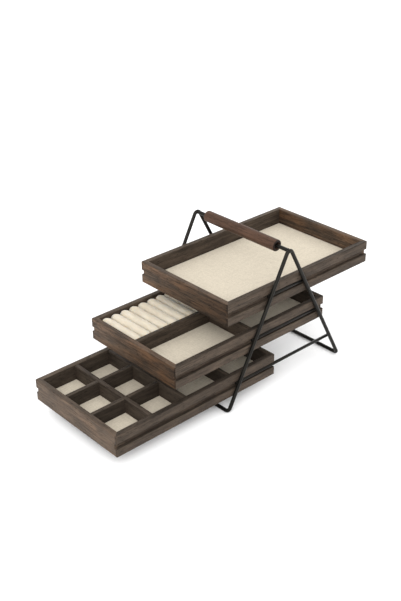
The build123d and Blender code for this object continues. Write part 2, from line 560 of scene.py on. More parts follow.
@dataclass(frozen=True)
class PowderCoat:
    """Satin black powder coat with the faint skin of a baked finish."""

    name: str = "black_powder_coat"
    colour: Colour = (0.003, 0.0028, 0.0024)
    dust_colour: Colour = (0.007, 0.0064, 0.005)
    skin: Speckle = Speckle((1500.0, 1500.0, 1500.0))
    handled: Speckle = Speckle((45.0, 45.0, 45.0), 3.0)
    handled_span: Span = (0.4, 0.7)
    roughness: float = 0.34
    handled_roughness: float = 0.18
    specular: float = 0.15
    sheen_tint: Colour = (1.0, 0.95, 0.87)
    relief_depth: float = 0.05 * MM
    relief_strength: float = 0.35

    def make(self) -> bpy.types.Material:
        """Build the material.

        Returns:
            The material, dustier and duller in patches.
        """
        material, network, surface = new_surface(self.name)
        place = network.object_place()
        skin = network.noise(place, self.skin)
        handled = network.noise(place, self.handled)
        dust = network.span(handled, self.handled_span)
        network.feed_all(surface, {
            "Base Color": network.blend(dust, self.colour, self.dust_colour),
            "Roughness": network.swinging(self.roughness, self.handled_roughness, handled),
            "Specular IOR Level": self.specular,
            "Specular Tint": self.sheen_tint,
            "Normal": network.relief(skin, self.relief_depth, self.relief_strength),
        })
        return material


@dataclass(frozen=True)
class VeneeredBoard:
    """Thin board faced with plain dark veneer, its grain along the tray."""

    name: str = "veneered_board"
    dark_colour: Colour = (0.017, 0.0124, 0.009)
    light_colour: Colour = (0.041, 0.029, 0.0215)
    fibres: Speckle = Speckle((22.0, 620.0, 300.0), 4.0, 0.6)
    figure: Speckle = Speckle((5.0, 44.0, 44.0), 3.0, 0.55)
    fibre_share: float = 0.6
    figure_share: float = 0.5
    tone_span: Span = (0.38, 0.72)
    gloss_from: Span = (0.2, 0.8)
    gloss_onto: Span = (0.5, 0.72)
    specular: float = 0.2
    relief_depth: float = 0.08 * MM
    relief_strength: float = 0.4

    def make(self) -> bpy.types.Material:
        """Build the material.

        Returns:
            The material, whose grain follows the object's first axis.
        """
        material, network, surface = new_surface(self.name)
        place = network.object_place()
        fibres = network.noise(place, self.fibres)
        figure = network.noise(place, self.figure)
        tone = network.weighted((figure, self.figure_share), (fibres, self.fibre_share))
        tone = network.span(tone, self.tone_span)
        network.feed_all(surface, {
            "Base Color": network.blend(tone, self.dark_colour, self.light_colour),
            "Roughness": network.span(fibres, self.gloss_from, self.gloss_onto),
            "Specular IOR Level": self.specular,
            "Normal": network.relief(fibres, self.relief_depth, self.relief_strength),
        })
        return material


@dataclass(frozen=True)
class PressedCard:
    """Cream card under the ring rolls, with the flecks of pressed pulp."""

    name: str = "pressed_card"
    light_colour: Colour = (0.38, 0.343, 0.277)
    fleck_colour: Colour = (0.263, 0.219, 0.16)
    pulp: Speckle = Speckle((700.0, 500.0, 700.0), 4.0, 0.65)
    fleck_span: Span = (0.5, 0.72)
    roughness: float = 0.9
    relief_depth: float = 0.04 * MM
    relief_strength: float = 0.4

    def make(self) -> bpy.types.Material:
        """Build the material.

        Returns:
            The material.
        """
        material, network, surface = new_surface(self.name)
        pulp = network.noise(network.object_place(), self.pulp)
        flecks = network.span(pulp, self.fleck_span)
        network.feed_all(surface, {
            "Base Color": network.blend(flecks, self.light_colour, self.fleck_colour),
            "Roughness": self.roughness,
            "Normal": network.relief(pulp, self.relief_depth, self.relief_strength),
        })
        return material


@dataclass
class Finishes:
    """Every finish of the box, made once and shared."""

    timber: bpy.types.Material = field(default_factory=lambda: StainedTimber().make())
    grip: bpy.types.Material = field(
        default_factory=lambda: StainedTimber(
            name="turned_walnut",
            dark_colour=(0.030, 0.0156, 0.0092),
            main_colour=(0.075, 0.040, 0.025),
            warm_colour=(0.099, 0.044, 0.0238),
            ring_spacing=3.6 * MM,
            roughness=0.48,
            specular=0.14,
            end_grain_shade=0.2,
        ).make()
    )
    linen: bpy.types.Material = field(default_factory=lambda: WovenLinen().make())
    roll_cloth: bpy.types.Material = field(default_factory=lambda: NappedCloth().make())
    wire: bpy.types.Material = field(default_factory=lambda: PowderCoat().make())
    base: bpy.types.Material = field(default_factory=lambda: VeneeredBoard().make())
    card: bpy.types.Material = field(default_factory=lambda: PressedCard().make())


# Meshes


def new_object(name: str, mesh: bpy.types.Mesh) -> bpy.types.Object:
    """Put a mesh in the scene as an object at the origin.

    Args:
        name: Name of the object.
        mesh: Its mesh.

    Returns:
        The new object.
    """
    piece = bpy.data.objects.new(name, mesh)
    bpy.context.scene.collection.objects.link(piece)
    return piece


def mesh_of(name: str, build: bmesh.types.BMesh) -> bpy.types.Mesh:
    """Turn what bmesh built into a mesh, and free it.

    Args:
        name: Name of the mesh.
        build: What bmesh built.

    Returns:
        The new mesh.
    """
    mesh = bpy.data.meshes.new(name)
    build.to_mesh(mesh)
    build.free()
    return mesh


def plain_mesh(piece: bpy.types.Object) -> bpy.types.Mesh:
    """Apply an object's modifiers to a new mesh, and remove them.

    Args:
        piece: The object with its modifiers.

    Returns:
        The mesh that they made of its own.
    """
    bpy.context.view_layer.update()
    evaluated = piece.evaluated_get(bpy.context.evaluated_depsgraph_get())
    mesh = bpy.data.meshes.new_from_object(evaluated)
    mesh.name = piece.name
    piece.modifiers.clear()
    return mesh


def settle(
    piece: bpy.types.Object,
    body: str,
    replaced: Sequence[str],
    material: bpy.types.Material,
) -> bpy.types.Object:
    """Give a finished piece its finish and its body, and hide the solids that it stands for.

    Args:
        piece: The finished piece.
        body: Body that it rides on.
        replaced: Names of the solids that it stands for.
        material: Its finish.

    Returns:
        The same piece.
    """
    piece.data.materials.clear()
    piece.data.materials.append(material)
    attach(piece, body)
    if replaced:
        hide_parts(*replaced)
    log.info("%s: %d faces, rides on %s", piece.name, len(piece.data.polygons), body)
    return piece


def dress_solid(node: str, material: bpy.types.Material) -> None:
    """Give a solid that stays in sight its finish.

    Args:
        node: Name of the solid.
        material: Its finish.
    """
    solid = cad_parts[node]
    solid.data.materials.clear()
    solid.data.materials.append(material)
    log.info("%s: keeps its solid, in %s", node, material.name)


def smooth(share: float) -> float:
    """Ease a share from 0 to 1 at both ends."""
    share = min(1.0, max(0.0, share))
    return share * share * (3 - 2 * share)


def read_rows(items: bpy.types.bpy_prop_collection, label: str) -> np.ndarray:
    """Read a property of three parts from every vertex or face of a mesh.

    Args:
        items: The mesh's vertices or faces.
        label: Name of the property.

    Returns:
        One row for each of them.
    """
    values = np.empty(len(items) * 3, dtype=np.float32)
    items.foreach_get(label, values)
    return values.reshape(-1, 3)


# Boards


@dataclass(frozen=True)
class BoardGrain:
    """Where a piece was cut from the log, its stain and painted light and shade, stored on its
    mesh.
    """

    run: GrainRun
    place_in_log: Vector
    stain: Stain
    # Painted sheen: faces that look up or down lose this share of their warmth, greyed as by
    # reflected light.
    flat_coolness: float = 0.5
    groove_facing: float = 0.9
    groove_from: float = 3.0 * MM
    groove_to: float = 5.0 * MM

    def store(self, mesh: bpy.types.Mesh) -> None:
        """Store what the finish reads: the grain at each point, stain and painted light on each
        face.

        Args:
            mesh: Mesh of the piece.
        """
        spots = read_rows(mesh.vertices, "co")
        grain = spots[:, self.run.value] + np.array(self.place_in_log, dtype=np.float32)
        layer = mesh.attributes.new(GRAIN, "FLOAT_VECTOR", "POINT")
        layer.data.foreach_set("vector", grain.astype(np.float32).ravel())

        along, _, across = self.run.value
        facing = np.abs(read_rows(mesh.polygons, "normal"))
        flat = facing[:, 2]
        place = read_rows(mesh.polygons, "center")[:, 1]
        depth = np.minimum(place - spots[:, 1].min(), spots[:, 1].max() - place)
        groove = (depth > self.groove_from) & (depth < self.groove_to)
        groove &= facing[:, 1] > self.groove_facing
        upright = 1 - flat
        stain = self.stain
        # Painted light and shade: lighter or darker tops, the lighter groove back and part of the
        # upright paleness.
        pale_with_painted_light = stain.paleness * upright + stain.top_paleness * flat
        shares = {
            END_GRAIN: facing[:, along],
            # Warmth is lowered on faces that look up or down, a painted sheen.
            WARMTH: stain.warmth * (1 - self.flat_coolness * flat),
            PALENESS_AND_PAINTED_LIGHT: pale_with_painted_light + stain.groove_paleness * groove,
            DRIFT: stain.drift * upright,
            COOLING: stain.cooling * upright,
            MITRE: facing[:, across] * (self.run is GrainRun.ACROSS_TRAY),
        }
        for name, values in shares.items():
            layer = mesh.attributes.new(name, "FLOAT", "FACE")
            layer.data.foreach_set("value", values.astype(np.float32))


@dataclass
class TimberBoard:
    """One board of a tray, with its edges eased as by fine paper and its joints left crisp."""

    node: str
    body: str
    run: GrainRun
    number: int
    stain: Stain = Stain()
    edge_ease: float = 0.32 * MM
    joint_ease: float = 0.25
    ease_steps: int = 3
    sharp_from: float = math.radians(28)
    flat_within: float = math.radians(0.6)
    merge_within: float = 0.001 * MM
    mitre_slack: float = 0.01
    log_step: Point = (0.37, 0.113, 0.071)

    def is_mitre(self, face: bmesh.types.BMFace) -> bool:
        """Whether a face is the cut of a mitre, half-way between along and across."""
        slant = abs(abs(face.normal.x) - abs(face.normal.y))
        return slant < self.mitre_slack and abs(face.normal.z) < self.mitre_slack

    def merged(self) -> bpy.types.Mesh:
        """The solid's outline, with its loose triangles merged.

        Returns:
            A mesh whose edges are weighted by how much each is eased.
        """
        build = bmesh.new()
        build.from_mesh(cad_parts[self.node].data)
        bmesh.ops.remove_doubles(build, verts=build.verts, dist=self.merge_within)
        bmesh.ops.dissolve_limit(
            build, angle_limit=self.flat_within, verts=build.verts, edges=build.edges
        )
        bmesh.ops.recalc_face_normals(build, faces=build.faces)
        weights = build.edges.layers.float.new("bevel_weight_edge")
        for edge in build.edges:
            if edge.calc_face_angle(0.0) > self.sharp_from:
                joint = any(self.is_mitre(face) for face in edge.link_faces)
                edge[weights] = self.joint_ease if joint else 1.0
        return mesh_of(self.node, build)

    def place_in_log(self) -> Vector:
        """Where in the log this board was cut, well away from the others."""
        return Vector([step * self.number for step in self.log_step])

    def build(self, material: bpy.types.Material) -> bpy.types.Object:
        """Make the board and settle it in place of its solid.

        Args:
            material: Its finish.

        Returns:
            The finished board.
        """
        piece = new_object(f"{self.node}_board", self.merged())
        piece.data.shade_smooth()
        ease = piece.modifiers.new("eased edges", "BEVEL")
        ease.width = self.edge_ease
        ease.segments = self.ease_steps
        ease.limit_method = "WEIGHT"
        ease.harden_normals = True
        piece.data = plain_mesh(piece)
        BoardGrain(self.run, self.place_in_log(), self.stain).store(piece.data)
        return settle(piece, self.body, [self.node], material)


# Linings


@dataclass
class PaddedLining:
    """Linen drawn over a thin pad, full between the dividers and pressed down under them."""

    node: str
    body: str
    pressed_by: Sequence[str] = ()
    slot: str = "linen"
    grid: float = 1.6 * MM
    crown: float = 0.35 * MM
    crown_reach: float = 9.0 * MM
    edge_radius: float = 1.3 * MM
    edge_steps: int = 5
    unevenness: float = 0.05 * MM
    bumps_per_metre: float = 60.0
    sharp_from: float = math.radians(50)

    def lines(self, low: float, high: float) -> np.ndarray:
        """Grid lines from one edge to the other, closer together over the rolled edges.

        Args:
            low: Place of one edge.
            high: Place of the other.

        Returns:
            The places of the lines, in order.
        """
        turned = np.linspace(0, math.pi / 2, self.edge_steps)
        rolled = self.edge_radius * (1 - np.cos(turned))
        count = max(2, round((high - low) / self.grid))
        inner = np.linspace(low + self.edge_radius, high - self.edge_radius, count)
        return np.concatenate([low + rolled[:-1], inner, high - rolled[-2::-1]])

    def top_height(self, x: float, y: float, corners: Corners, presses: list[Corners]) -> float:
        """Height of the cloth at a point.

        Args:
            x: Place along the tray.
            y: Place across it.
            corners: The lowest and the highest corner of the pad.
            presses: The same of each solid that stands on it.

        Returns:
            The height, lower over the rolled edges and near what presses on the pad.
        """
        low, high = corners
        inwards = min(x - low.x, high.x - x, y - low.y, high.y - y)
        fullness = smooth(inwards / self.crown_reach)
        for near, far in presses:
            out_x = max(near.x - x, 0.0, x - far.x)
            out_y = max(near.y - y, 0.0, y - far.y)
            fullness = min(fullness, smooth(math.hypot(out_x, out_y) / self.crown_reach))
        bump = noise.noise(Vector((x, y, 0.0)) * self.bumps_per_metre)
        height = high.z + self.crown * fullness
        height += self.unevenness * fullness * bump
        rolled = max(0.0, self.edge_radius - inwards)
        return height - self.edge_radius + math.sqrt(max(0.0, self.edge_radius**2 - rolled**2))

    def pad(self) -> bpy.types.Mesh:
        """The closed pad: its cloth on top, upright sides and a flat foot.

        Returns:
            The mesh of the pad.
        """
        corners = low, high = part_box(self.node)
        presses = [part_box(solid) for solid in self.pressed_by]
        ys = self.lines(low.y, high.y)
        build = bmesh.new()
        rows = [
            [build.verts.new((x, y, self.top_height(x, y, corners, presses))) for y in ys]
            for x in self.lines(low.x, high.x)
        ]
        for row, after in zip(rows, rows[1:]):
            for place in range(len(ys) - 1):
                onward = place + 1
                build.faces.new((row[place], after[place], after[onward], row[onward]))
        rim = [edge for edge in build.edges if edge.is_boundary]
        for item in bmesh.ops.extrude_edge_only(build, edges=rim)["geom"]:
            if isinstance(item, bmesh.types.BMVert):
                item.co.z = low.z
        foot = [edge for edge in build.edges if edge.is_boundary]
        bmesh.ops.contextual_create(build, geom=foot)
        bmesh.ops.recalc_face_normals(build, faces=build.faces)
        return mesh_of(self.node, build)

    def build(self, material: bpy.types.Material) -> bpy.types.Object:
        """Make the lining and settle it in place of its solid.

        Args:
            material: Its finish.

        Returns:
            The finished lining.
        """
        piece = new_object(f"{self.node}_pad", self.pad())
        piece.data.shade_smooth()
        piece.data.set_sharp_from_angle(angle=self.sharp_from)
        settle(piece, self.body, [self.node], material)
        return piece


# Geometry Nodes


@dataclass
class GeometryRecipe:
    """A Geometry Nodes tree with named inputs, run once on a base mesh."""

    name: str
    sizes: Mapping[str, float | int | Point]
    tree: bpy.types.NodeTree = field(init=False)
    network: Network = field(init=False)
    entry: bpy.types.Node = field(init=False)

    KINDS: ClassVar[Mapping[type, str]] = {
        float: "NodeSocketFloat",
        int: "NodeSocketInt",
        tuple: "NodeSocketVector",
    }

    def __post_init__(self) -> None:
        """Start the tree with its geometry, its finish and its sizes as inputs."""
        self.tree = bpy.data.node_groups.new(self.name, "GeometryNodeTree")
        sockets = self.tree.interface
        sockets.new_socket("Geometry", in_out="INPUT", socket_type="NodeSocketGeometry")
        sockets.new_socket("Finish", in_out="INPUT", socket_type="NodeSocketMaterial")
        for label, value in self.sizes.items():
            sockets.new_socket(label, in_out="INPUT", socket_type=self.KINDS[type(value)])
        sockets.new_socket("Geometry", in_out="OUTPUT", socket_type="NodeSocketGeometry")
        self.network = Network(self.tree)
        self.entry = self.tree.nodes.new("NodeGroupInput")

    def given(self, label: str) -> Socket:
        """The socket of a named input."""
        return self.entry.outputs[label]

    def base_curve(self) -> Socket:
        """The edges of the base mesh, as curves."""
        return self.network.first("GeometryNodeMeshToCurve", {"Mesh": self.given("Geometry")})

    def round_section(self) -> Socket:
        """The circle of the inputs Radius and Sides."""
        circle = {"Resolution": self.given("Sides"), "Radius": self.given("Radius")}
        return self.network.first("GeometryNodeCurvePrimitiveCircle", circle)

    def laid(self, points: Socket, shape: Socket, scale: Source = (1.0, 1.0, 1.0)) -> Socket:
        """A copy of a shape at each point, in its own size, as real geometry."""
        laid = {"Points": points, "Instance": shape, "Scale": scale}
        return self.realized(self.network.first("GeometryNodeInstanceOnPoints", laid))

    def realized(self, shape: Socket) -> Socket:
        """What a shape repeats, as real geometry."""
        return self.network.first("GeometryNodeRealizeInstances", {"Geometry": shape})

    def uneven(self, shape: Socket, height: Source, per_metre: float) -> Socket:
        """Push a surface in and out along its normal by soft noise.

        Args:
            shape: The surface.
            height: How far apart its highest and lowest places may come, in metres.
            per_metre: How many lumps there are to a metre.

        Returns:
            The uneven surface.
        """
        network = self.network
        lumps = Speckle((per_metre, per_metre, per_metre), 1.0)
        lump = network.noise(network.first("GeometryNodeInputPosition"), lumps)
        push = network.maths("MULTIPLY", network.maths("SUBTRACT", lump, 0.5), height)
        offset = network.scaled(network.first("GeometryNodeInputNormal"), push)
        return network.first("GeometryNodeSetPosition", {"Geometry": shape, "Offset": offset})

    def close(self, shape: Socket) -> None:
        """End the tree with real geometry, smooth and in its finish.

        Args:
            shape: What the tree made.
        """
        network = self.network
        smoothed = {"Geometry": self.realized(shape)}
        smoothed = network.first("GeometryNodeSetShadeSmooth", smoothed)
        finished = {"Geometry": smoothed, "Material": self.given("Finish")}
        finished = network.first("GeometryNodeSetMaterial", finished)
        network.add("NodeGroupOutput", {0: finished})

    def run(self, piece: bpy.types.Object, material: bpy.types.Material) -> bpy.types.Object:
        """Run the tree on an object and keep the result as its plain mesh.

        Args:
            piece: Object whose mesh is the tree's geometry.
            material: Finish that the tree sets.

        Returns:
            The same object.
        """
        modifier = piece.modifiers.new(self.name, "NODES")
        modifier.node_group = self.tree
        values = {"Finish": material, **self.sizes}
        for item in self.tree.interface.items_tree:
            if item.item_type == "SOCKET" and item.in_out == "INPUT" and item.name in values:
                modifier[item.identifier] = values[item.name]
        piece.data = plain_mesh(piece)
        return piece


def route_mesh(name: str, routes: Iterable[Route], closed: bool = False) -> bpy.types.Mesh:
    """A mesh of bare edges that bars or wires follow.

    Args:
        name: Name of the mesh.
        routes: For each bar, its points and how thick it is there, as a share of full thickness.
        closed: Whether each route returns to its start.

    Returns:
        The mesh, with the thickness stored on its points.
    """
    points: list[Point] = []
    shares: list[float] = []
    edges: list[tuple[int, int]] = []
    for route in routes:
        first = len(points)
        for point, share in route:
            points.append(point)
            shares.append(share)
        last = len(points) - 1
        edges += [(number, number + 1) for number in range(first, last)]
        if closed:
            edges.append((last, first))
    mesh = bpy.data.meshes.new(name)
    mesh.from_pydata(points, edges, [])
    mesh.attributes.new(THICKNESS, "FLOAT", "POINT").data.foreach_set("value", shares)
    return mesh


def bar_recipe(radius: float, sides: int) -> GeometryRecipe:
    """The tree that sweeps a round section along straight bars and closes their ends.

    Args:
        radius: Full radius of the bars.
        sides: Sides of the section.

    Returns:
        The finished tree, for a mesh of routes.
    """
    recipe = GeometryRecipe("round bars", {"Radius": radius, "Sides": sides})
    network = recipe.network
    stored = {"Name": THICKNESS}
    swept = {
        "Curve": recipe.base_curve(),
        "Profile Curve": recipe.round_section(),
        "Scale": network.first("GeometryNodeInputNamedAttribute", stored, data_type="FLOAT"),
        "Fill Caps": True,
    }
    recipe.close(network.first("GeometryNodeCurveToMesh", swept))
    return recipe


def wire_recipe(radius: float, sides: int, bend: float, bend_steps: int) -> GeometryRecipe:
    """The tree that bends a wire round the corners of its route.

    Args:
        radius: Radius of the wire.
        sides: Sides of its section.
        bend: Radius of each bend, at the wire's centre line.
        bend_steps: Steps that a bend is divided into.

    Returns:
        The finished tree, for a mesh of routes.
    """
    sizes = {"Radius": radius, "Sides": sides, "Bend Radius": bend, "Bend Steps": bend_steps}
    recipe = GeometryRecipe("bent wire", sizes)
    network = recipe.network
    bends = {
        "Curve": recipe.base_curve(),
        "Radius": recipe.given("Bend Radius"),
        "Count": recipe.given("Bend Steps"),
    }
    bent = network.first("GeometryNodeFilletCurve", bends, mode="POLY")
    swept = {"Curve": bent, "Profile Curve": recipe.round_section()}
    recipe.close(network.first("GeometryNodeCurveToMesh", swept))
    return recipe


@dataclass(frozen=True)
class WeldBead:
    """One of the small uneven beads of weld that hold a rail to a leg."""

    size: Point = (1.5 * MM, 0.7 * MM, 0.85 * MM)
    least: float = 0.85
    most: float = 1.15
    lumps: float = 0.12 * MM
    lumps_per_metre: float = 900.0
    fineness: int = 2
    seed: int = 7

    def recipe(self) -> GeometryRecipe:
        """The tree that lays a bead on every point.

        Returns:
            The finished tree, for a mesh of points.
        """
        sizes = {
            "Size": self.size,
            "Least": self.least,
            "Most": self.most,
            "Lumps": self.lumps,
            "Fineness": self.fineness,
            "Seed": self.seed,
        }
        recipe = GeometryRecipe("weld beads", sizes)
        network = recipe.network
        ball = {"Radius": 1.0, "Subdivisions": recipe.given("Fineness")}
        ball = network.first("GeometryNodeMeshIcoSphere", ball)
        limits = {2: recipe.given("Least"), 3: recipe.given("Most"), "Seed": recipe.given("Seed")}
        varied = network.add("FunctionNodeRandomValue", limits, data_type="FLOAT").outputs[1]
        scale = network.scaled(recipe.given("Size"), varied)
        whole = recipe.laid(recipe.given("Geometry"), ball, scale)
        recipe.close(recipe.uneven(whole, recipe.given("Lumps"), self.lumps_per_metre))
        return recipe


# Ring rolls


@dataclass
class RingRolls:
    """The row of foam rolls that rings are pushed between, each drawn over with cloth."""

    body: str = Tier.MIDDLE.body
    count: int = 8
    section_steps: int = 22
    side_steps: int = 6
    foot_steps: int = 8
    length_steps: int = 90
    far_end_ease: float = 1.7 * MM
    near_end_ease: float = 0.9 * MM
    softness: float = 0.22 * MM
    soft_places_per_metre: float = 70.0
    fullness: float = 0.90
    sharp_from: float = math.radians(60)

    def nodes(self) -> list[str]:
        """Names of the solids of the rolls."""
        return [Tier.MIDDLE.node(f"ring_roll_{number + 1}") for number in range(self.count)]

    def outline(self, radius: float, depth: float) -> bpy.types.Mesh:
        """The section of a roll: a full half round on an upright foot.

        Args:
            radius: Radius of the half round.
            depth: Depth of the foot under it.

        Returns:
            A mesh of the outline's edges, lying flat.
        """
        turned = np.linspace(0, math.pi, self.section_steps)
        across = radius * np.sign(np.cos(turned)) * np.abs(np.cos(turned)) ** self.fullness
        up = radius * np.abs(np.sin(turned)) ** self.fullness
        points = [(float(x), -float(z), 0.0) for x, z in zip(across, up)]
        steps = np.linspace(0, depth, self.side_steps)[1:]
        points += [(-radius, step, 0.0) for step in steps[:-1]]
        points += [(x, depth, 0.0) for x in np.linspace(-radius, radius, self.foot_steps)]
        points += [(radius, step, 0.0) for step in steps[-2::-1]]
        mesh = bpy.data.meshes.new("ring roll section")
        edges = [(number, (number + 1) % len(points)) for number in range(len(points))]
        mesh.from_pydata(points, edges, [])
        return mesh

    def width(self, recipe: GeometryRecipe, share: Socket) -> Socket:
        """How wide a roll is at a place along it, so that both its ends are rounded.

        Args:
            recipe: The tree of the rolls.
            share: The place, from 0 at the far end to 1 at the near one.

        Returns:
            The width there, as a share of the full one.
        """
        network = recipe.network
        reach = {0: recipe.given("Start"), 1: recipe.given("End")}
        reach = network.add("ShaderNodeVectorMath", reach, operation="DISTANCE").outputs["Value"]
        other = network.maths("SUBTRACT", 1.0, share)
        nearest = network.maths("MULTIPLY", network.maths("MINIMUM", share, other), reach)
        near_half = network.maths("GREATER_THAN", share, other)
        ease = network.between(
            near_half, recipe.given("Far End Ease"), recipe.given("Near End Ease")
        )
        depth = network.maths("MINIMUM", network.maths("DIVIDE", nearest, ease), 1.0)
        depth = network.maths("SUBTRACT", 1.0, depth)
        arc = network.maths("SUBTRACT", 1.0, network.maths("MULTIPLY", depth, depth))
        arc = network.maths("SQRT", network.maths("MAXIMUM", arc, 0.0))
        lost = network.maths("SUBTRACT", 1.0, arc)
        rim = network.maths("DIVIDE", ease, recipe.given("Radius"))
        return network.maths("SUBTRACT", 1.0, network.maths("MULTIPLY", lost, rim))

    def recipe(self, start: Point, end: Point, pitch: float, radius: float) -> GeometryRecipe:
        """The tree that sweeps the section to a roll with rounded ends and repeats it.

        Args:
            start: Far end of the first roll's centre line.
            end: Near end of it.
            pitch: Distance from one roll to the next.
            radius: Radius of the rolls.

        Returns:
            The finished tree, for a mesh of the section.
        """
        sizes = {
            "Start": start,
            "End": end,
            "Pitch": pitch,
            "Count": self.count,
            "Radius": radius,
            "Far End Ease": self.far_end_ease,
            "Near End Ease": self.near_end_ease,
            "Length Steps": self.length_steps,
            "Softness": self.softness,
        }
        recipe = GeometryRecipe("ring rolls", sizes)
        network = recipe.network
        ends = {"Start": recipe.given("Start"), "End": recipe.given("End")}
        line = {
            "Curve": network.first("GeometryNodeCurvePrimitiveLine", ends),
            "Count": recipe.given("Length Steps"),
        }
        share = network.add("GeometryNodeSplineParameter").outputs["Factor"]
        swing = network.maths("COSINE", network.maths("MULTIPLY", share, math.pi))
        share = network.maths("MULTIPLY_ADD", swing, -0.5, 0.5)
        place = {0: share, 4: ends["Start"], 5: ends["End"]}
        place = network.add("ShaderNodeMix", place, data_type="VECTOR").outputs[1]
        spaced = {"Geometry": network.first("GeometryNodeResampleCurve", line), "Position": place}
        swept = {
            "Curve": network.first("GeometryNodeSetPosition", spaced),
            "Profile Curve": recipe.base_curve(),
            "Scale": self.width(recipe, share),
            "Fill Caps": True,
        }
        roll = network.first("GeometryNodeCurveToMesh", swept)
        step = network.vector(recipe.given("Pitch"), 0.0, 0.0)
        row = {"Count": recipe.given("Count"), "Offset": step}
        whole = recipe.laid(network.first("GeometryNodeMeshLine", row), roll)
        recipe.close(recipe.uneven(whole, recipe.given("Softness"), self.soft_places_per_metre))
        return recipe

    def build(self, finishes: Finishes) -> bpy.types.Object:
        """Make the rolls and settle them in place of their solids.

        Args:
            finishes: The finishes of the box.

        Returns:
            The row of rolls.
        """
        names = self.nodes()
        low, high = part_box(names[0])
        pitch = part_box(names[1])[0].x - low.x
        radius = (high.x - low.x) / 2
        middle = (low.x + high.x) / 2
        spring = high.z - radius
        start, end = (middle, high.y, spring), (middle, low.y, spring)
        piece = new_object("ring_rolls", self.outline(radius, spring - low.z))
        self.recipe(start, end, pitch, radius).run(piece, finishes.roll_cloth)
        piece.data.set_sharp_from_angle(angle=self.sharp_from)
        settle(piece, self.body, names, finishes.roll_cloth)
        return piece


# Trays


@dataclass
class Tray:
    """A tray of four mitred boards on a thin base, with its lining and its dividers."""

    tier: Tier
    dividers_along: Sequence[str] = ()
    dividers_across: Sequence[str] = ()
    stains: Mapping[str, Stain] = field(default_factory=dict)
    boards_to_a_tray: int = 11

    def boards(self) -> list[TimberBoard]:
        """Every board of the tray, each from its own place in the log.

        Returns:
            The boards, those along the tray first.
        """
        along = ["near_side", "far_side", *self.dividers_along]
        across = ["front_end", "rear_end", *self.dividers_across]
        runs = [(part, GrainRun.ALONG_TRAY) for part in along]
        runs += [(part, GrainRun.ACROSS_TRAY) for part in across]
        first = 1 + self.boards_to_a_tray * self.tier.value
        return [
            TimberBoard(
                self.tier.node(part),
                self.tier.body,
                run,
                number,
                self.stains.get(part, Stain()),
            )
            for number, (part, run) in enumerate(runs, first)
        ]

    def lining(self) -> PaddedLining:
        """The lining, with the solids that press on it.

        Returns:
            The lining, not made yet.
        """
        dividers = [*self.dividers_along, *self.dividers_across]
        pressing = [self.tier.node(part) for part in dividers]
        if self.tier is Tier.MIDDLE:
            pressing.append(self.tier.node("ring_roll_card"))
        return PaddedLining(self.tier.node("lining"), self.tier.body, pressing)

    def build(self, finishes: Finishes) -> None:
        """Make every piece of the tray.

        Args:
            finishes: The finishes of the box.
        """
        for board in self.boards():
            board.build(finishes.timber)
        self.lining().build(finishes.linen)
        dress_solid(self.tier.node("base_panel"), finishes.base)


# Stand and handle


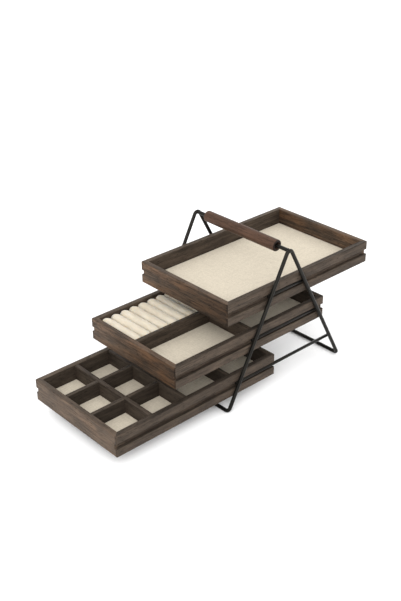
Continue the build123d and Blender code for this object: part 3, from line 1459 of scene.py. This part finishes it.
@dataclass
class WireStand:
    """The bent wire stand with the six rails and the handle rod welded to it."""

    body: str = "stand"
    slot: str = "black_wire"
    sides: tuple[str, str] = ("near", "far")
    wire_radius: float = 2.4 * MM
    foot_half_spread: float = 100.0 * MM
    leg_plane: float = 82.0 * MM
    leg_crossing_height: float = 192.0 * MM
    bend_radius: float = 5.0 * MM
    rail_radius: float = 2.0 * MM
    rod_radius: float = 2.4 * MM
    rod_flare: Sequence[tuple[float, float]] = (
        (0.0, 1.14),
        (0.35 * MM, 1.12),
        (0.8 * MM, 1.07),
        (1.4 * MM, 1.02),
        (2.2 * MM, 1.0),
    )
    end_ease: float = 0.35 * MM
    half_eased_at: float = 0.3
    bead: WeldBead = WeldBead()
    bead_lift: float = 1.7 * MM
    bead_depth: float = 0.1 * MM
    round_sides: int = 28
    bend_steps: int = 12
    sharp_from: float = math.radians(50)

    def leg_half_spread(self, height: float) -> float:
        """Distance of a leg's centre line from the middle of the stand at a height."""
        rise = self.leg_crossing_height - self.wire_radius
        return (self.leg_crossing_height - height) * self.foot_half_spread / rise

    def frame_wire(self, finishes: Finishes) -> bpy.types.Object:
        """The closed loop of wire: two floor bars, four feet, four legs and two apexes.

        Args:
            finishes: The finishes of the box.

        Returns:
            The wire.
        """
        foot, plane, low = self.foot_half_spread, self.leg_plane, self.wire_radius
        high = self.leg_crossing_height
        corners = [
            (-foot, -plane, low),
            (0.0, -plane, high),
            (foot, -plane, low),
            (foot, plane, low),
            (0.0, plane, high),
            (-foot, plane, low),
        ]
        route = route_mesh("stand_wire", [[(corner, 1.0) for corner in corners]], closed=True)
        piece = new_object("stand_wire", route)
        recipe = wire_recipe(low, self.round_sides, self.bend_radius, self.bend_steps)
        recipe.run(piece, finishes.wire)
        replaced = [f"{side}_frame_wire" for side in self.sides]
        return settle(piece, self.body, replaced, finishes.wire)

    def bars(
        self,
        name: str,
        routes: Iterable[Route],
        radius: float,
        replaced: Sequence[str],
        finishes: Finishes,
    ) -> bpy.types.Object:
        """Make straight round bars and settle them in place of their solids.

        Args:
            name: Name of the piece.
            routes: For each bar, its points and how thick it is there, as a share.
            radius: Full radius of the bars.
            replaced: Names of their solids.
            finishes: The finishes of the box.

        Returns:
            The bars, as one piece.
        """
        piece = new_object(name, route_mesh(name, routes))
        bar_recipe(radius, self.round_sides).run(piece, finishes.wire)
        piece.data.set_sharp_from_angle(angle=self.sharp_from)
        return settle(piece, self.body, replaced, finishes.wire)

    def eased_bar(self, start: Vector, end: Vector) -> Route:
        """The route of a bar whose cut ends are a little rounded off.

        Args:
            start: One end of its centre line.
            end: The other.

        Returns:
            Its points and how thick it is there, as a share.
        """
        along = (end - start).normalized()
        worn = 1 - self.end_ease / self.rail_radius
        half_way = self.half_eased_at * self.end_ease
        steps = [(0.0, worn), (half_way, (1 + worn) / 2), (self.end_ease, 1.0)]
        near = [(tuple(start + along * step), share) for step, share in steps]
        far = [(tuple(end - along * step), share) for step, share in reversed(steps)]
        return near + far

    def rails(self, finishes: Finishes) -> bpy.types.Object:
        """The six rails that the trays slide on.

        Args:
            finishes: The finishes of the box.

        Returns:
            The rails, as one piece.
        """
        names = [tier.rail(side) for tier in Tier for side in self.sides]
        routes = []
        for name in names:
            low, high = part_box(name)
            middle = (low + high) / 2
            start = Vector((low.x, middle.y, middle.z))
            end = Vector((high.x, middle.y, middle.z))
            routes.append(self.eased_bar(start, end))
        return self.bars("tray_rails", routes, self.rail_radius, names, finishes)

    def handle_rod(self, finishes: Finishes) -> bpy.types.Object:
        """The rod between the two apexes, flared where the weld runs round it.

        Args:
            finishes: The finishes of the box.

        Returns:
            The rod.
        """
        low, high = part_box("handle_rod")
        middle = (low + high) / 2
        flare = self.rod_flare
        route = [((middle.x, low.y + step, middle.z), share) for step, share in flare]
        route += [((middle.x, high.y - step, middle.z), share) for step, share in reversed(flare)]
        return self.bars("handle_rod_bar", [route], self.rod_radius, ["handle_rod"], finishes)

    def weld_beads(self, finishes: Finishes) -> bpy.types.Object:
        """The small beads that hold each rail to the legs, above and below it.

        Args:
            finishes: The finishes of the box.

        Returns:
            The beads, as one piece.
        """
        inner_face = self.leg_plane - self.wire_radius
        lifts = (-self.bead_lift, self.bead_lift)
        spots = []
        for tier, side, leg, lift in product(Tier, (-1, 1), (-1, 1), lifts):
            low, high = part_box(f"{tier.name.lower()}_rail_near")
            height = (low.z + high.z) / 2 + lift
            reach = self.leg_half_spread(height)
            spots.append((leg * reach, side * (inner_face + self.bead_depth), height))
        mesh = bpy.data.meshes.new("weld_beads")
        mesh.from_pydata(spots, [], [])
        piece = new_object("weld_beads", mesh)
        self.bead.recipe().run(piece, finishes.wire)
        return settle(piece, self.body, [], finishes.wire)

    def build(self, finishes: Finishes) -> None:
        """Make every piece of the stand.

        Args:
            finishes: The finishes of the box.
        """
        self.frame_wire(finishes)
        self.rails(finishes)
        self.handle_rod(finishes)
        self.weld_beads(finishes)


@dataclass
class TurnedGrip:
    """The wooden grip, turned round and bored through for the rod."""

    node: str = "handle_grip"
    body: str = "handle"
    bore_radius: float = 2.7 * MM
    mouth_radius: float = 4.5 * MM
    mouth_depth: float = 4.0 * MM
    mouth_bottom_ease: float = 0.3 * MM
    mouth_rim_ease: float = 0.35 * MM
    end_ease: float = 1.3 * MM
    ease_steps: int = 6
    barrel: float = 0.12 * MM
    length_steps: int = 40
    round_sides: int = 72
    sharp_from: float = math.radians(40)
    place_in_log: Point = (5.1, 1.3, 0.9)
    stain: Stain = Stain(groove_paleness=0.0)

    def profile(self, half_length: float, radius: float) -> list[tuple[float, float]]:
        """The section that is turned, once round the wood.

        Args:
            half_length: Half the length of the grip.
            radius: Its radius at the middle.

        Returns:
            For each point, its place along the grip and its distance from the middle line.
        """
        ease, mouth = self.end_ease, self.mouth_radius
        bottom = half_length - self.mouth_depth
        half = [
            (bottom, self.bore_radius),
            (bottom, mouth - self.mouth_bottom_ease),
            (bottom + self.mouth_bottom_ease, mouth),
            (half_length - self.mouth_rim_ease, mouth),
            (half_length, mouth + self.mouth_rim_ease),
        ]
        for turned in np.linspace(0, math.pi / 2, self.ease_steps):
            along = half_length - ease + ease * math.cos(turned)
            half.append((along, radius - self.barrel - ease + ease * math.sin(turned)))
        inner = half_length - ease
        for share in np.linspace(1, 0, self.length_steps)[1:]:
            rise = self.barrel * (1 - share * share)
            half.append((inner * share, radius - self.barrel + rise))
        back = [(-along, across) for along, across in reversed(half[:-1])]
        return half + back

    def turned(self, middle: Vector, ring: Sequence[tuple[float, float]]) -> bpy.types.Mesh:
        """Turn a section about the grip's middle line.

        Args:
            middle: The middle of the grip.
            ring: The section, as profile gives it.

        Returns:
            The mesh of the grip.
        """
        build = bmesh.new()
        rows = []
        for number in range(self.round_sides):
            angle = math.tau * number / self.round_sides
            across, up = math.cos(angle), math.sin(angle)
            spots = [
                (middle.x + radius * across, middle.y + along, middle.z + radius * up)
                for along, radius in ring
            ]
            rows.append([build.verts.new(spot) for spot in spots])
        for number, row in enumerate(rows):
            after = rows[(number + 1) % self.round_sides]
            for step in range(len(ring)):
                onward = (step + 1) % len(ring)
                build.faces.new((row[step], row[onward], after[onward], after[step]))
        bmesh.ops.recalc_face_normals(build, faces=build.faces)
        return mesh_of("turned_grip", build)

    def build(self, finishes: Finishes) -> bpy.types.Object:
        """Turn the grip and settle it in place of its solid.

        Args:
            finishes: The finishes of the box.

        Returns:
            The finished grip.
        """
        low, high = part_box(self.node)
        middle = (low + high) / 2
        ring = self.profile((high.y - low.y) / 2, (high.z - low.z) / 2)
        piece = new_object("turned_grip", self.turned(middle, ring))
        piece.data.shade_smooth()
        piece.data.set_sharp_from_angle(angle=self.sharp_from)
        grain = BoardGrain(GrainRun.ACROSS_TRAY, Vector(self.place_in_log), self.stain)
        grain.store(piece.data)
        return settle(piece, self.body, [self.node], finishes.grip)


# Studio


@dataclass(frozen=True)
class Softbox:
    """One square soft light, pointed at the box."""

    name: str
    place: Point
    size: float
    power: float
    target: Point = (0.0, 0.0, 0.1)

    def hang(self) -> None:
        """Hang the light and point it."""
        data = bpy.data.lights.new(self.name, "AREA")
        data.shape = "SQUARE"
        data.size = self.size
        data.energy = self.power
        light = bpy.data.objects.new(self.name, data)
        bpy.context.scene.collection.objects.link(light)
        place = Vector(self.place)
        aim = (Vector(self.target) - place).to_track_quat("-Z", "Y")
        light.matrix_world = Matrix.Translation(place) @ aim.to_matrix().to_4x4()


@dataclass
class Studio:
    """White floor, a white tent of soft light and the camera of the photograph."""

    camera_place: Point = (-769.9 * MM, -786.86 * MM, 688.92 * MM)
    camera_target: Point = (-58.32 * MM, 12.92 * MM, 103.78 * MM)
    camera_roll: float = math.radians(-0.96)
    camera_reach: float = 50.0
    lens: float = 58.13
    sensor: float = 36.0
    floor_size: float = 14.0
    floor_colour: Colour = (0.93, 0.93, 0.93)
    floor_roughness: float = 0.9
    floor_specular: float = 0.1
    sky_colour: Colour = (1.0, 1.0, 1.0)
    sky_strength: float = 1.39
    lights: Sequence[Softbox] = (
        Softbox("front", (-1.2, -1.2, 1.3), size=1.2, power=28.8),
        Softbox("right strip", (1.2, -1.3, 1.0), size=0.3, power=3.0),
    )

    def camera(self) -> None:
        """Place the camera and make it the scene's."""
        data = bpy.data.cameras.new("camera")
        data.lens = self.lens
        data.sensor_width = self.sensor
        data.clip_end = self.camera_reach
        camera = bpy.data.objects.new("camera", data)
        bpy.context.scene.collection.objects.link(camera)
        place, target = Vector(self.camera_place), Vector(self.camera_target)
        ahead = (target - place).normalized()
        right = ahead.cross(Vector((0, 0, 1))).normalized()
        up = right.cross(ahead)
        cosine, sine = math.cos(self.camera_roll), math.sin(self.camera_roll)
        turned_right = right * cosine + up * sine
        turned_up = up * cosine - right * sine
        columns = Matrix((turned_right, turned_up, -ahead)).transposed().to_4x4()
        columns.translation = place
        camera.matrix_world = columns
        bpy.context.scene.camera = camera

    def floor(self) -> None:
        """Lay the white floor."""
        half = self.floor_size / 2
        corners = [(-half, -half, 0.0), (half, -half, 0.0), (half, half, 0.0), (-half, half, 0.0)]
        mesh = bpy.data.meshes.new("floor")
        mesh.from_pydata(corners, [], [(0, 1, 2, 3)])
        floor = new_object("floor", mesh)
        material, network, surface = new_surface("white_floor")
        network.feed_all(surface, {
            "Base Color": self.floor_colour,
            "Roughness": self.floor_roughness,
            "Specular IOR Level": self.floor_specular,
        })
        mesh.materials.append(material)

    def sky(self) -> None:
        """Surround the scene with even white light."""
        world = bpy.data.worlds.new("studio")
        bpy.context.scene.world = world
        world.use_nodes = True
        background = world.node_tree.nodes["Background"]
        light = {"Color": self.sky_colour, "Strength": self.sky_strength}
        Network(world.node_tree).feed_all(background, light)

    def build(self) -> None:
        """Set up the camera, the floor and the light."""
        self.camera()
        self.floor()
        self.sky()
        for light in self.lights:
            light.hang()
        view = bpy.context.scene.view_settings
        view.view_transform = "Standard"
        view.look = "None"
        log.info("studio ready")


def trays() -> tuple[Tray, Tray, Tray]:
    """The three trays, with the stain and the painted light and shade on their boards.

    Returns:
        The trays, lowest first.
    """
    bottom = Tray(
        Tier.BOTTOM,
        dividers_along=("near_long_divider", "far_long_divider"),
        dividers_across=("front_cross_divider", "middle_cross_divider", "rear_cross_divider"),
        stains={
            # Painted light and shade: lighter tops are painted sheen, the darker near rim is the
            # middle tray's painted shade, the darker, greyer rear end and dividers are painted
            # shade under the middle tray, and the paler front end is partly painted light.
            "near_side": Stain(top_paleness=-0.25),
            "far_side": Stain(warmth=0.0, paleness=-0.12, top_paleness=0.6),
            "front_end": Stain(warmth=0.35, paleness=0.78, top_paleness=0.35),
            "rear_end": Stain(warmth=0.0, paleness=-0.3),
            "near_long_divider": Stain(warmth=0.0, paleness=-0.35),
            "far_long_divider": Stain(warmth=0.0, paleness=-0.35),
            "front_cross_divider": Stain(warmth=0.0),
            "middle_cross_divider": Stain(warmth=0.0, paleness=-0.12),
            "rear_cross_divider": Stain(warmth=0.0, paleness=-0.35),
        },
    )
    middle = Tray(
        Tier.MIDDLE,
        dividers_along=("long_divider",),
        dividers_across=("cross_divider",),
        stains={
            # Painted light and shade: lighter tops are painted sheen, the darker, greyer rear end
            # is painted shade, and the paler front end is partly painted light.
            "near_side": Stain(paleness=0.14, top_paleness=-0.25),
            "far_side": Stain(top_paleness=0.45),
            "front_end": Stain(
                warmth=0.9, paleness=0.38, top_paleness=0.3, drift=0.56, cooling=0.45
            ),
            "rear_end": Stain(warmth=0.1, paleness=-0.3),
        },
    )
    top = Tray(
        Tier.TOP,
        stains={
            # Painted light and shade: lighter tops are painted sheen, and the rear end's darkening
            # towards its far corner is painted shade.
            "near_side": Stain(paleness=0.05),
            "far_side": Stain(top_paleness=0.55),
            "front_end": Stain(
                warmth=0.85, paleness=0.2, top_paleness=0.4, drift=0.66, cooling=-0.1
            ),
            "rear_end": Stain(
                warmth=0.9, paleness=0.34, top_paleness=0.6, drift=-0.22, cooling=-0.22
            ),
        },
    )
    return bottom, middle, top


def ring_roll_card() -> PaddedLining:
    """The card under the ring rolls, level and with hard edges."""
    node = Tier.MIDDLE.node("ring_roll_card")
    return PaddedLining(node, Tier.MIDDLE.body, slot="roll_card", crown=0.0, edge_radius=0.5 * MM)


def main() -> None:
    """Build the whole scene, piece by piece."""
    logging.basicConfig(level=logging.INFO, format="%(name)s: %(message)s")
    Studio().build()
    finishes = Finishes()
    WireStand().build(finishes)
    TurnedGrip().build(finishes)
    for tray in trays():
        tray.build(finishes)
    RingRolls().build(finishes)
    ring_roll_card().build(finishes.card)


if __name__ == "__main__":
    main()
